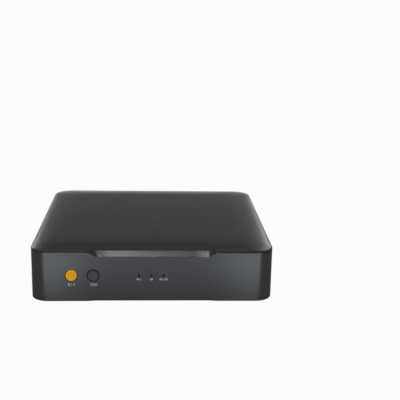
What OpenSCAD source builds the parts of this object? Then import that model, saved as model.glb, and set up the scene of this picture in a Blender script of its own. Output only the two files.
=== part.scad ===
// Desktop network music streamer: a low square case with two push buttons and three lamps
// in front, five sockets behind, and a main board, a network module and a key board inside.
// Millimetres, +Z up, front face towards -Y, origin on the floor under the middle of the part.

/* [Case] */
// Width of the case across the cover
case_w = 150; // [146:1:190]
// Depth of the case from the front face to the rear face of the cover
case_d = 152; // [142:1:190]
// Height of the body shell from its bottom rim to the joint under the cover
body_h = 31.3; // [30:0.1:44]
// Radius of the upright corners
corner_r = 11; // [9:0.5:15]
// How far the cover stands out past the body shell all round
overhang = 0.3; // [0.1:0.1:1]
// Thickness of the side walls
wall = 2.4; // [1.8:0.1:3.4]
// Thickness of the front wall
front_wall = 3.2; // [2.8:0.1:4.5]
// Thickness of the rear wall
rear_wall = 3.6; // [3:0.1:5]
// Thickness of the base plate
base_t = 2; // [1.8:0.1:3]
// Gap between the base plate and the walls round it
base_gap = 0.25; // [0.1:0.05:0.3]
// Width of the ledge inside the walls that stands on the base plate
ledge_w = 1.8; // [1:0.1:3]
// Thickness of that ledge
ledge_t = 1.5; // [1:0.1:3]
// Chamfer along the bottom rim of the body shell
rim_chamfer = 0.7; // [0.3:0.1:1.5]

/* [Cover] */
// Height of the cover's crown above its rim
crown_h = 3.2; // [2.6:0.1:5]
// Width of the curve that leads from the rim to the flat top
crown_w = 20; // [16:0.5:28]
// Thickness of the cover under its flat top
cover_t = 2; // [1.4:0.1:2.4]
// Distance from the rim to the pocket under the cover
pocket_inset = 13; // [11:0.5:18]
// Depth of the skirt that locates the cover inside the walls
skirt_h = 3; // [2:0.1:4]
// Thickness of the skirt
skirt_t = 1.4; // [1:0.1:2]
// Gap between the skirt and the walls
skirt_gap = 0.2; // [0.1:0.05:0.3]
// Radius of the four screw posts under the cover
post_r = 3.75; // [3.2:0.05:4.5]

/* [Joint line and scoops] */
// Height of the shadow gap between body shell and cover
joint_gap = 0.4; // [0.2:0.1:0.8]
// Depth of the shadow gap
joint_depth = 1.2; // [0.6:0.1:1.6]
// Length of the flat part of the visor at the front of the cover
visor_w = 67; // [40:1:72]
// Length of the curve at each end of the visor
visor_ramp = 8.2; // [5:0.1:10]
// How far the visor dips below the joint line
visor_drop = 2.7; // [1.5:0.1:3.4]
// How far the visor leans back at its top edge
visor_lean = 1.1; // [0.8:0.1:2]
// Width of the cover's rim behind the visor
visor_rim = 1.8; // [1.4:0.1:2.2]
// Gap behind the visor in the front wall
visor_gap = 0.3; // [0.2:0.1:0.5]
// Length of the flat part of the scoop under the front face
scoop_w = 66; // [40:1:76]
// Length of the curve at each end of the scoop
scoop_ramp = 9; // [5:0.5:12]
// Height of the scoop
scoop_h = 2; // [1:0.1:3]
// Depth of the scoop at the bottom rim
scoop_in = 1.6; // [0.8:0.1:2]

/* [Feet and case screws] */
// How far the rubber feet lift the base plate
foot_drop = 2; // [1:0.1:6]
// Radius of a foot
foot_r = 6.5; // [4:0.5:9]
// Depth of the pocket that holds a foot
foot_pocket = 0.8; // [0.4:0.1:1.2]
// Gap round a foot in its pocket
foot_gap = 0.2; // [0.1:0.05:0.3]
// Distance of the feet from the outside of the case
foot_inset = 22; // [20:0.5:30]
// Shank radius of the case screws
case_screw_r = 1.45; // [1.2:0.05:1.6]
// Head radius of the case screws
case_screw_head_r = 2.8; // [2.4:0.1:3.2]
// Depth of the countersunk head of the case screws
case_screw_head_h = 1.4; // [1:0.1:1.7]
// Length of the case screws
case_screw_len = 9; // [8:0.5:14]
// Radius of the threaded inserts in the cover's posts
insert_r = 2.2; // [2:0.05:2.6]
// Length of the threaded inserts
insert_len = 5.5; // [4:0.5:8]
// Clearance round screw shanks and pressed pieces
thread_gap = 0.05; // [0.02:0.01:0.1]
// Clearance of screw shanks and heads in through holes
hole_gap = 0.15; // [0.1:0.05:0.3]
// Width of the cross recess in the screw heads
cross_w = 0.7; // [0.4:0.1:0.9]
// Depth of the cross recess
cross_h = 0.7; // [0.4:0.1:0.9]

/* [Front controls] */
// Height of the buttons above the bottom rim of the body shell
button_z = 16.9; // [13:0.1:19]
// Distance of the power button from the left side of the case
power_edge = 25.4; // [25:0.1:29]
// Distance between the two buttons
button_pitch = 13.3; // [13:0.1:18]
// Radius of a button cap
cap_r = 3.5; // [2.8:0.1:3.9]
// Visible gap round a button cap
cap_gap = 0.55; // [0.3:0.05:0.7]
// How far the caps stand proud of the front face
cap_proud = 0.4; // [0.1:0.1:1.5]
// Bevel round the face of a cap
cap_bevel = 0.5; // [0.2:0.1:0.8]
// Depth of the dished face of a cap
cap_dish = 0.25; // [0.1:0.05:0.5]
// Travel of a button
press = 0.6; // [0.3:0.1:1]
// Radius of the flange that keeps a cap in the case
flange_r = 4.9; // [4.7:0.1:5.1]
// Thickness of the flange
flange_t = 1.6; // [1:0.1:2.5]
// Running gap between the flange and its guide
guide_gap = 0.15; // [0.1:0.05:0.25]
// Wall of the guide round the flange
guide_wall = 1.2; // [0.8:0.1:1.3]
// Radius of the stub behind the flange
stub_r = 2; // [1.5:0.1:2.5]
// Length of the stub
stub_len = 1.4; // [1:0.1:3]
// Radius of a switch stem
stem_r = 1.75; // [1.2:0.05:2]
// Length of a switch stem
stem_len = 3; // [2.6:0.1:3.4]
// Gap between a stem and its switch body
stem_gap = 0.1; // [0.05:0.05:0.15]
// Side of a switch body
switch_w = 6; // [5:0.1:7]
// Thickness of a switch body
switch_t = 3.5; // [3.2:0.1:5]
// Place of the middle lamp to the right of the case's middle
lamp_mid = -0.7; // [-2:0.1:2]
// Distance between the three lamps
lamp_pitch = 7.6; // [6:0.1:10]
// Radius of the lamp holes
lamp_r = 0.6; // [0.4:0.05:1]
// How far the light pipe ends behind the front face
lamp_sink = 0.35; // [0.1:0.05:1]
// Gap round the light pipe in the lamp holes
lamp_gap = 0.08; // [0.05:0.01:0.15]
// Thickness of the bar that joins the light pipe's rods
pipe_bar_t = 1.6; // [1:0.1:2.4]
// Height of that bar
pipe_bar_h = 3.6; // [2.6:0.1:5]
// Length of that bar past the outer lamps
pipe_bar_end = 2.4; // [1.5:0.1:2.8]
// Radius of the light pipe's rear rods
pipe_rod_r = 1.1; // [0.8:0.1:1.3]
// Gap between the light pipe and the lamps
pipe_gap = 0.3; // [0.1:0.1:0.6]
// Side of a lamp
lamp_w = 2; // [1.6:0.1:3]
// Height of a lamp above the key board
lamp_h = 0.8; // [0.5:0.1:1.4]

/* [Key board] */
// Thickness of both circuit boards
board_t = 1.6; // [1.2:0.1:2]
// Height of the key board
key_h = 14; // [12:0.5:16]
// Length of the key board past the power button
key_left = 10; // [9.5:0.1:10.3]
// Length of the key board past the right lamp
key_right = 9; // [8:0.5:14]
// Distance of the outer key board screws from its ends
key_screw_inset = 2.6; // [2.5:0.1:3]
// Place of the middle key board screw to the right of the mode button
key_screw_step = 12; // [10:0.5:16]
// Radius of the key board posts
key_post_r = 2.2; // [1.9:0.1:2.4]
// Shank radius of the key board screws
key_screw_r = 0.95; // [0.8:0.05:1.1]
// Head radius of the key board screws
key_screw_head_r = 1.8; // [1.5:0.1:2]
// Head height of the key board screws
key_screw_head_h = 1.2; // [0.8:0.1:1.5]
// How far the key board screws reach into their posts
key_screw_grip = 4; // [3:0.5:5]
// Length of the two ribbon sockets
ribbon_socket_w = 13; // [11:0.5:15]
// Depth of the two ribbon sockets, from their board
ribbon_socket_h = 2.2; // [1.5:0.1:3]
// Side of the two ribbon sockets along their board
ribbon_socket_d = 4; // [3:0.1:5]
// Width of the ribbon cable
ribbon_w = 10.5; // [8:0.5:11]
// Thickness of the ribbon cable
ribbon_t = 0.3; // [0.2:0.05:0.5]
// Place of the ribbon cable to the left of the middle lamp
ribbon_x = -4; // [-5:0.5:0]

/* [Main board] */
// Distance of the main board's sides from the outside of the case
board_side = 20; // [18:0.5:21]
// Depth of the main board
board_d = 112; // [100:1:118]
// Distance of the main board from the rear wall
board_gap = 1.2; // [0.6:0.1:2]
// Height of the standoffs under the main board
standoff_h = 5; // [4:0.1:8]
// Width of the hexagonal standoffs across their corners
standoff_w = 5.6; // [5:0.1:6.5]
// Distance of the standoffs from the front and side edges of the board
standoff_inset = 4; // [3.5:0.1:4.5]
// Distance of the rear standoffs from the board's rear edge, clear of the sockets
standoff_back = 17; // [16:0.5:19]
// Shank radius of the main board screws
board_screw_r = 1.2; // [1:0.05:1.3]
// Head radius of the main board screws
board_screw_head_r = 2.3; // [2:0.1:2.6]
// Head height of the main board screws
board_screw_head_h = 1.4; // [1:0.1:2]
// How far the main board screws reach into their standoffs
board_screw_grip = 3.6; // [3:0.1:3.8]

/* [Network module] */
// Place of the network module to the right of the middle
module_x = 16; // [10:1:24]
// Place of the network module in front of the board's rear edge
module_back = 68; // [66:1:78]
// Width of the network module
module_w = 46; // [44:1:56]
// Depth of the network module
module_d = 40; // [39:1:44]
// Thickness of the network module's board
module_t = 1.2; // [0.8:0.1:1.6]
// Width of the shield can
can_w = 32; // [26:1:36]
// Depth of the shield can
can_d = 28; // [26:1:29]
// Height of the shield can
can_h = 2.6; // [1.5:0.1:4]
// Wall of the shield can
can_wall = 0.4; // [0.2:0.05:0.6]
// Side of the thermal pad
pad_w = 22; // [16:1:26]
// Thickness of the thermal pad
pad_t = 1; // [0.5:0.1:1.5]
// Width of the heat sink
sink_w = 34; // [26:1:36]
// Depth of the heat sink
sink_d = 28; // [26:1:29]
// Thickness of the heat sink's foot
sink_t = 2; // [1.2:0.1:3]
// Height of the fins
fin_h = 6; // [3:0.5:7]
// Thickness of a fin
fin_t = 1.2; // [0.8:0.1:1.6]
// Number of fins
fin_count = 7; // [5:1:8]

/* [Antennas] */
// Length of an antenna strip
antenna_len = 40; // [30:1:50]
// Height of an antenna strip
antenna_h = 8; // [6:0.5:10]
// Thickness of an antenna strip
antenna_t = 0.5; // [0.3:0.1:1]
// Distance from the joint line down to the middle of the antennas
antenna_drop = 10; // [9:0.5:12]
// Radius of an antenna lead
lead_r = 0.6; // [0.5:0.05:0.7]
// Side of an antenna plug
plug_w = 3; // [2.6:0.1:3.2]
// Height of an antenna plug
plug_h = 1.6; // [1.5:0.1:2]
// Distance of the antenna plugs from the module's edges
plug_inset = 2.4; // [2:0.1:2.8]

/* [Rear panel] */
// How far the rear panel reaches past the main board's sides
panel_side = 4; // [3.5:0.5:6]
// Height of the rear panel
panel_h = 22; // [20:0.5:23]
// Thickness of the rear panel
panel_t = 1.5; // [1:0.1:2]
// Distance from the main board's top down to the panel's lower edge
panel_below = 4.5; // [3:0.1:4.8]
// Gap round the panel in its rebate
panel_gap = 0.15; // [0.1:0.05:0.25]
// Width of the wall behind the panel at its ends
panel_end = 7; // [6.5:0.1:8]
// Width of the wall behind the panel above and below
panel_lip = 2.6; // [1.5:0.1:2.8]
// Distance of the rear panel screws from its ends
panel_screw_inset = 3.5; // [3.2:0.1:4]
// Shank radius of the rear panel screws
panel_screw_r = 1.2; // [1:0.05:1.3]
// Head radius of the rear panel screws
panel_screw_head_r = 2.3; // [2:0.1:2.6]
// Head height of the rear panel screws
panel_screw_head_h = 1.3; // [1:0.1:1.6]
// Length of the bosses that take the rear panel screws
panel_boss_len = 3.2; // [2:0.1:3.6]
// Radius of the bosses that take the rear panel screws
panel_boss_r = 3; // [2.5:0.1:3.4]
// Gap round the sockets in the rear panel
socket_gap = 0.3; // [0.2:0.05:0.5]
// How far the sockets stand proud of the rear panel
socket_proud = 0.4; // [0.2:0.1:1]

/* [Ethernet socket] */
// Place of the ethernet socket, as a share of the main board's width
eth_share = 0.2; // [0.19:0.005:0.21]
// Width of the ethernet socket
eth_w = 16; // [15:0.1:17]
// Height of the ethernet socket
eth_h = 13.4; // [13:0.1:14]
// Length of the ethernet socket
eth_len = 21; // [18:0.5:24]
// Width of the hole for the plug
eth_hole_w = 11.9; // [11.7:0.1:12.4]
// Height of the hole for the plug
eth_hole_h = 7.2; // [6.8:0.1:7.6]
// Length of the hole for the plug
eth_hole_len = 14; // [12:0.5:16]
// Thickness of the roof over the hole
eth_roof = 1.8; // [1.4:0.1:2.4]
// Width of the notch for the latch
eth_latch_w = 4; // [3:0.1:6]
// Depth of the notch for the latch
eth_latch_h = 2.6; // [1.5:0.1:2.8]
// Distance between the eight contacts
contact_pitch = 1.02; // [1:0.01:1.1]
// Width of a contact
contact_w = 0.5; // [0.3:0.05:0.6]
// How far the contacts reach down into the hole
contact_drop = 1.8; // [1.2:0.1:2.2]
// Length of the contacts
contact_len = 8; // [6:0.5:9]
// How far behind the mouth the contacts begin
contact_back = 2.6; // [2:0.1:3]

/* [USB socket] */
// Place of the USB socket, as a share of the main board's width
usb_share = -0.03; // [-0.04:0.005:0]
// Width of the USB socket
usb_w = 13.2; // [13.1:0.1:13.6]
// Height of the USB socket
usb_h = 5.8; // [5.7:0.1:6.4]
// Length of the USB socket
usb_len = 14; // [12:0.5:18]
// Sheet thickness of the USB socket
usb_t = 0.35; // [0.25:0.05:0.4]
// Width of the tongue
usb_tongue_w = 11.1; // [10.8:0.1:11.4]
// Thickness of the tongue
usb_tongue_t = 1.8; // [1.6:0.1:2]
// Gap over the tongue
usb_tongue_gap = 0.5; // [0.3:0.1:0.7]
// Length of the block that carries the tongue
usb_block = 4; // [3:0.5:5]
// How far the tongue ends behind the mouth
usb_tongue_back = 1.2; // [0.8:0.1:2]

/* [Power inlet] */
// Place of the power inlet, as a share of the main board's width
inlet_share = 0.375; // [0.37:0.005:0.38]
// Width of the power inlet
inlet_w = 9; // [8.9:0.1:9.4]
// Height of the power inlet
inlet_h = 3.3; // [3.2:0.1:3.6]
// Length of the power inlet
inlet_len = 9.4; // [8:0.1:12]
// Sheet thickness of the power inlet
inlet_t = 0.3; // [0.2:0.05:0.35]
// Width of the inlet's tongue
inlet_tongue_w = 6.7; // [6.4:0.1:6.9]
// Thickness of the inlet's tongue
inlet_tongue_t = 0.7; // [0.6:0.05:0.8]
// Length of the block that carries the inlet's tongue
inlet_block = 3; // [2:0.1:4]
// How far the inlet's tongue ends behind the mouth
inlet_tongue_back = 0.8; // [0.5:0.1:1.2]

/* [Optical socket] */
// Place of the optical socket, as a share of the main board's width
opt_share = -0.22; // [-0.225:0.005:-0.2]
// Width of the optical socket
opt_w = 11; // [10.8:0.1:12]
// Height of the optical socket
opt_h = 11; // [10.6:0.1:12]
// Length of the optical socket
opt_len = 16; // [15:0.5:20]
// Side of the square hole for the plug
opt_hole = 8; // [7.6:0.1:8.2]
// Length of the hole for the plug
opt_hole_len = 10.4; // [9.5:0.1:11]
// Height of the floor under the hole
opt_floor = 1.4; // [1.2:0.1:1.8]
// How far the shutter's pin lies behind the mouth
pin_back = 1.3; // [1.1:0.1:1.6]
// How far the shutter's pin lies below the roof of the hole
pin_drop = 1.15; // [1.1:0.05:1.4]
// Radius of the shutter's pin
pin_r = 0.6; // [0.4:0.05:0.65]
// Running gap round the shutter's pin
pin_gap = 0.05; // [0.02:0.01:0.1]
// Length of the pin in each side wall
pin_end = 0.8; // [0.5:0.1:1]
// Radius of the barrel round the pin
barrel_r = 0.8; // [0.7:0.05:0.85]
// Thickness of the shutter
shutter_t = 0.9; // [0.6:0.1:1]
// Gap round the shutter
shutter_gap = 0.3; // [0.2:0.05:0.4]
// Radius of the light emitter
emitter_r = 1.6; // [1.2:0.1:2]
// Length of the light emitter
emitter_len = 3; // [2:0.1:3.5]

/* [Coaxial socket] */
// Place of the coaxial socket, as a share of the main board's width
coax_share = -0.375; // [-0.38:0.005:-0.36]
// Width of the coaxial socket's body
coax_w = 10; // [9:0.5:11]
// Length of the coaxial socket's body
coax_len = 11; // [9:0.5:14]
// Height of the socket's middle above the main board
coax_z = 7; // [6:0.1:8]
// Material over the socket's middle
coax_over = 5.4; // [5:0.1:6]
// How far the barrel stands out behind the rear face
coax_proud = 8.4; // [7:0.1:10]
// Radius of the barrel
coax_r = 4.15; // [4.1:0.05:4.3]
// Wall of the barrel
coax_wall = 0.6; // [0.5:0.05:0.7]
// How much narrower the barrel's root in the rear panel is
coax_step = 0.2; // [0.1:0.05:0.3]
// Radius of the centre contact
coax_contact_r = 2; // [1.9:0.05:2.2]
// Radius of the hole for the plug's pin
coax_pin_r = 1.6; // [1.55:0.05:1.65]
// How far the insulator ends inside the barrel
coax_insulator_back = 0.6; // [0.3:0.1:1.2]
// How far the contact ends inside the insulator
coax_contact_back = 0.5; // [0.2:0.1:1]

/* [Parts on the main board] */
// Radius of a filter capacitor
cap_can_r = 3.15; // [2.5:0.05:4]
// Height of a filter capacitor
cap_can_h = 8; // [6:0.5:11]
// Side of a power inductor
inductor_w = 7; // [5:0.5:8]
// Height of a power inductor
inductor_h = 4; // [2.5:0.5:5]
// Width of an oscillator
oscillator_w = 5; // [4:0.5:6]
// Depth of an oscillator
oscillator_d = 3.2; // [2.5:0.1:4]
// Height of an oscillator
oscillator_h = 1.2; // [0.8:0.1:1.6]
// Side of an interface chip
chip_w = 8; // [6:0.5:9]
// Height of an interface chip
chip_h = 1; // [0.7:0.1:1.4]
// Length of a vent slot in the base plate
vent_len = 16; // [10:1:20]
// Width of a vent slot
vent_w = 2; // [1.5:0.1:3]
// Distance between the vent slots
vent_pitch = 6; // [4:0.5:8]
// Number of vent slots in a row
vent_count = 9; // [3:1:11]

/* [Hidden] */
$fn = 64;
// Overlap of pieces that are joined, and overshoot of cuts
lap = 0.5;

// Levels from the floor upwards
z_under = foot_drop;
z_floor = z_under + base_t;
z_joint = z_under + body_h;
z_board = z_floor + standoff_h;
z_top = z_board + board_t;
z_button = z_under + button_z;

// The case lies so that caps in front and barrel behind reach equally far from the origin
front_y = (cap_proud - coax_proud - case_d) / 2;
rear_y = front_y + case_d;
half_w = case_w / 2;

// Outer and inner faces of the walls
shell_x = half_w - overhang;
shell_front = front_y + overhang;
shell_rear = rear_y - overhang;
shell_r = corner_r - overhang;
inner_x = shell_x - wall;
inner_front = shell_front + front_wall;
inner_rear = shell_rear - rear_wall;
inner_r = shell_r - wall;
post_x = half_w - corner_r;
post_front = front_y + corner_r;
post_rear = rear_y - corner_r;
post_spots = [for (x = [-post_x, post_x], y = [post_front, post_rear]) [x, y]];

// Levels of the button stack from the front face inwards
power_x = power_edge - half_w;
mode_x = power_x + button_pitch;
button_spots = [power_x, mode_x];
cap_len = cap_proud + overhang + front_wall;
stem_y = inner_front + flange_t + stub_len;
switch_y = stem_y + press + stem_r / 3;
key_y = switch_y + switch_t;
key_back = key_y + board_t;
guide_r = flange_r + guide_gap + guide_wall;
guide_len = flange_t + press + lap;
lamp_spots = [lamp_mid - lamp_pitch, lamp_mid, lamp_mid + lamp_pitch];
key_x0 = power_x - key_left;
key_x1 = lamp_mid + lamp_pitch + key_right;
key_screws = [key_x0 + key_screw_inset, mode_x + key_screw_step, key_x1 - key_screw_inset];

// The main board and what stands on it
board_rear = inner_rear - board_gap;
board_front = board_rear - board_d;
board_w = case_w - 2 * board_side;
standoff_x = board_w / 2 - standoff_inset;
standoff_spots = [for (x = [-standoff_x, standoff_x],
                       y = [board_front + standoff_inset, board_rear - standoff_back]) [x, y]];
module_y = board_rear - module_back;
z_module = z_top + module_t;
z_can = z_module + can_h;
z_pad = z_can + pad_t;
plug_x = module_w / 2 - plug_inset;
plug_y = module_y + module_d / 2 - plug_inset;
antenna_z = z_joint - antenna_drop;
ribbon_end = board_front + ribbon_socket_d;

// The rear panel and the sockets behind it
panel_w = board_w + 2 * panel_side;
panel_y = shell_rear - panel_t;
panel_z = z_top - panel_below;
panel_mid = panel_z + panel_h / 2;
panel_screws = [-panel_w / 2 + panel_screw_inset, panel_w / 2 - panel_screw_inset];
mouth_y = shell_rear + socket_proud;
eth_x = eth_share * board_w;
usb_x = usb_share * board_w;
inlet_x = inlet_share * board_w;
opt_x = opt_share * board_w;
coax_x = coax_share * board_w;
eth_hole_z = z_top + eth_h - eth_roof - eth_hole_h;
opt_hole_z = z_top + opt_floor;
pin_y = mouth_y - pin_back;
pin_z = opt_hole_z + opt_hole - pin_drop;
coax_face = panel_y - panel_gap;
coax_end = rear_y + coax_proud;
coax_mid = z_top + coax_z;
coax_bore = coax_r - coax_wall;
coax_root_r = coax_r - coax_step;

// Places of the small parts: a share of the board's width, and from the board's rear edge
capacitor_spots = [[0.41, -24], [0.41, -33], [0.32, -29]];
inductor_spots = [[0.27, -38], [0.38, -42]];
oscillator_spots = [[-0.11, -32], [-0.2, -32]];
chip_spots = [[-0.05, -40], [-0.31, -30], [0.13, -34]];

// Colours of the finishes
case_black = [0.16, 0.16, 0.17];
panel_black = [0.12, 0.12, 0.12];
rubber_black = [0.08, 0.08, 0.08];
cap_orange = [0.85, 0.55, 0.15];
cap_black = [0.2, 0.2, 0.21];
steel = [0.62, 0.63, 0.65];
brass = [0.8, 0.65, 0.3];
plastic_black = [0.1, 0.1, 0.1];
plastic_white = [0.9, 0.9, 0.88];
board_green = [0.05, 0.3, 0.15];

// Shared shapes

// Upright block with round corners between two heights
module slab(half, y0, y1, r, z0, z1) {
    translate([0, 0, z0]) linear_extrude(z1 - z0) {
        translate([-half, y0 + r]) square([2 * half, y1 - y0 - 2 * r]);
        translate([r - half, y0]) square([2 * (half - r), y1 - y0]);
        for (x = [r - half, half - r], y = [y0 + r, y1 - r]) translate([x, y]) circle(r);
    }
}

// Block inside the walls, drawn in by the given distance
module inner_slab(inset, z0, z1) {
    slab(inner_x - inset, inner_front + inset, inner_rear - inset, inner_r - inset, z0, z1);
}

// Round bar along Y
module rod(x, y0, y1, z, r) {
    translate([x, y0, z]) rotate([-90, 0, 0]) cylinder(h = y1 - y0, r = r);
}

// Box given by the middle of its X side and its low and high faces in Y and Z
module block(x, w, y0, y1, z0, z1) {
    translate([x - w / 2, y0, z0]) cube([w, y1 - y0, z1 - z0]);
}

// Bar along Y with round sides
module flat_rod(x, w, h, y0, y1, z) {
    side = w / 2 - h / 2;
    block(x, 2 * side, y0, y1, z - h / 2, z + h / 2);
    rod(x - side, y0, y1, z, h / 2);
    rod(x + side, y0, y1, z, h / 2);
}

// Screw with a round head whose top lies at the origin and whose shank points down
module pan_screw(r, len, head_r, head_h) {
    difference() {
        union() {
            translate([0, 0, -head_h]) cylinder(h = head_h, r = head_r);
            translate([0, 0, -head_h - len]) cylinder(h = len + lap, r = r);
        }
        cross(head_r);
    }
}

// Cross recess in a screw head whose top lies at the origin
module cross(head_r) {
    for (turn = [0, 90])
        rotate([0, 0, turn]) block(0, cross_w, -head_r * 0.6, head_r * 0.6, -cross_h, lap);
}

// Closed skin over rings of points that run anticlockwise as seen from the last ring
module loft(rings) {
    n = len(rings);
    m = len(rings[0]);
    sides = [for (i = [0 : n - 2], j = [0 : m - 1])
        let (a = i * m + j, b = i * m + (j + 1) % m) each [[a, a + m, b + m], [a, b + m, b]]];
    first = [for (j = [0 : m - 1]) j];
    last = [for (j = [m - 1 : -1 : 0]) (n - 1) * m + j];
    polyhedron(points = [for (ring = rings) each ring], faces = concat(sides, [first, last]));
}

// Rise of a curved end: 0 outside the ramp, 1 along the flat part
function ease(t) = t * t * (3 - 2 * t);
function hump(x, flat, ramp) = ease(max(0, min(1, (flat / 2 + ramp - abs(x)) / ramp)));
// Places along X that follow a hump's two curved ends
function hump_stations(flat, ramp, steps) = concat(
    [for (i = [0 : steps]) -flat / 2 - ramp + ramp * i / steps],
    [for (i = [0 : steps]) flat / 2 + ramp * i / steps]);

// The cover's outer surface: height over its rim at a distance from the edge
function crown(s) = crown_h * sqrt(1 - pow(1 - min(s, crown_w) / crown_w, 2));
function visor(s) = (crown(visor_lean) + visor_drop) * s / visor_lean - visor_drop;
function cover_rise(x, s) =
    crown(s) - hump(x, visor_w, visor_ramp) * max(0, crown(s) - visor(s));

// One ring of the cover: round corners of one radius, and stations along the front edge
corner_steps = 8;
visor_steps = 8;
function corner_points(x, y, turn, z) = [for (i = [0 : corner_steps])
    let (a = turn + 90 * i / corner_steps) [x + corner_r * cos(a), y + corner_r * sin(a), z]];
function cover_ring(s, z, front_z) = let (
    x = half_w - s - corner_r,
    y0 = front_y + s + corner_r,
    y1 = rear_y - s - corner_r) concat(
    corner_points(-x, y0, 180, z),
    [for (i = [0 : len(front_z) - 1]) [visor_stations[i], front_y + s, front_z[i]]],
    corner_points(x, y0, 270, z),
    corner_points(x, y1, 0, z),
    corner_points(-x, y1, 90, z));
visor_stations = hump_stations(visor_w, visor_ramp, visor_steps);
lean_steps = 3;
crown_steps = 10;
crown_insets = concat(
    [for (i = [0 : lean_steps]) visor_lean * i / lean_steps],
    [for (i = [1 : crown_steps])
        visor_lean + (crown_w - visor_lean) * (1 - cos(90 * i / crown_steps))]);

// Case

module base_plate() {
    color(panel_black) difference() {
        inner_slab(base_gap, z_under, z_floor);
        for (spot = post_spots) translate([spot[0], spot[1], 0]) {
            translate([0, 0, z_under - lap])
                cylinder(h = base_t + 2 * lap, r = case_screw_r + hole_gap);
            translate([0, 0, z_under])
                cylinder(h = case_screw_head_h, r1 = case_screw_head_r + hole_gap,
                         r2 = case_screw_r + hole_gap);
        }
        for (x = [-1, 1], y = [front_y + foot_inset, rear_y - foot_inset])
            translate([x * (half_w - foot_inset), y, z_under - lap])
                cylinder(h = foot_pocket + lap, r = foot_r + foot_gap);
        for (i = [0 : vent_count - 1], y = [module_y, module_y + vent_len * 1.5])
            block((i - (vent_count - 1) / 2) * vent_pitch, vent_w, y - vent_len / 2, y + vent_len / 2,
                  z_under - lap, z_floor + lap);
    }
}

// Round rubber foot: side -1 is left or front, 1 is right or rear
module foot(side, end) {
    y = end < 0 ? front_y + foot_inset : rear_y - foot_inset;
    bevel = foot_drop / 4;
    color(rubber_black) translate([side * (half_w - foot_inset), y, 0]) rotate_extrude()
        polygon([[0, 0], [foot_r - bevel, 0], [foot_r, bevel], [foot_r, foot_drop + foot_pocket],
                 [0, foot_drop + foot_pocket]]);
}

// Cut under the front face, deepest in the middle and running out at both ends
module under_scoop() {
    out = 1;
    loft([for (x = hump_stations(scoop_w, scoop_ramp, visor_steps))
        let (b = hump(x, scoop_w, scoop_ramp), e = out * (1 - b * 0.5)) [
            [x, shell_front - e, z_under - e],
            [x, shell_front + (scoop_in + e) * b, z_under - e],
            [x, shell_front - e, z_under + (scoop_h + e) * b]]]);
}

// Outer block of the body shell, with a chamfered bottom rim
module shell_block() {
    r = shell_r;
    edge = [[0, z_under], [r - rim_chamfer, z_under], [r, z_under + rim_chamfer], [r, z_joint],
            [0, z_joint]];
    y0 = shell_front + r;
    y1 = shell_rear - r;
    x1 = shell_x - r;
    translate([0, (y0 + y1) / 2, 0]) for (turn = [0, 180]) rotate([0, 0, turn]) {
        span = (y1 - y0) / 2;
        translate([x1, span, 0]) rotate_extrude(angle = 90) polygon(edge);
        translate([-x1, span, 0]) rotate([0, 0, 90]) rotate_extrude(angle = 90) polygon(edge);
        translate([x1, span, 0]) rotate([90, 0, 0]) linear_extrude(2 * span) polygon(edge);
        translate([-x1, span, 0]) rotate([90, 0, 90]) linear_extrude(2 * x1) polygon(edge);
        block(0, 2 * x1, -span, span, z_under, z_joint);
    }
}

module body_shell() {
    color(case_black) difference() {
        union() {
            difference() {
                shell_block();
                inner_slab(0, z_under - lap, z_joint + lap);
            }
            difference() {
                slab(inner_x + lap, inner_front - lap, inner_rear + lap, inner_r + lap,
                     z_floor, z_floor + ledge_t);
                inner_slab(ledge_w, z_under, z_joint);
            }
            for (x = button_spots) rod(x, inner_front - lap, inner_front + guide_len, z_button, guide_r);
            for (x = key_screws) rod(x, inner_front - lap, key_y, z_button, key_post_r);
            for (x = panel_screws)
                rod(x, inner_rear - panel_boss_len, inner_rear + lap, panel_mid, panel_boss_r);
        }
        // Shadow gap along the joint
        difference() {
            slab(half_w + lap, front_y - lap, rear_y + lap, corner_r + lap,
                 z_joint - joint_gap, z_joint + lap);
            slab(shell_x - joint_depth, shell_front + joint_depth, shell_rear - joint_depth,
                 shell_r - joint_depth, z_under, z_joint + 2 * lap);
        }
        // Dip for the visor
        translate([0, front_y + visor_rim + visor_gap, z_joint]) rotate([90, 0, 0])
            linear_extrude(visor_rim + visor_gap + lap) polygon(concat(
                [[visor_w / 2 + visor_ramp, lap], [-visor_w / 2 - visor_ramp, lap]],
                [for (x = visor_stations)
                    [x, -joint_gap - visor_drop * hump(x, visor_w, visor_ramp)]]));
        under_scoop();
        for (x = button_spots) {
            rod(x, shell_front - lap, inner_front + lap, z_button, cap_r + cap_gap);
            rod(x, inner_front, inner_front + guide_len + lap, z_button, flange_r + guide_gap);
        }
        for (x = lamp_spots) rod(x, shell_front - lap, inner_front + lap, z_button, lamp_r);
        for (x = key_screws)
            rod(x, key_y - key_screw_grip - lap, key_y + lap, z_button, key_screw_r + thread_gap);
        // Rebate, window and screw holes of the rear panel
        block(0, panel_w, panel_y, rear_y + lap, panel_z, panel_z + panel_h);
        block(0, panel_w - 2 * panel_end, inner_rear - lap, rear_y, panel_z + panel_lip,
              panel_z + panel_h - panel_lip);
        for (x = panel_screws)
            rod(x, inner_rear - panel_boss_len - lap, rear_y, panel_mid, panel_screw_r + thread_gap);
    }
}

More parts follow.
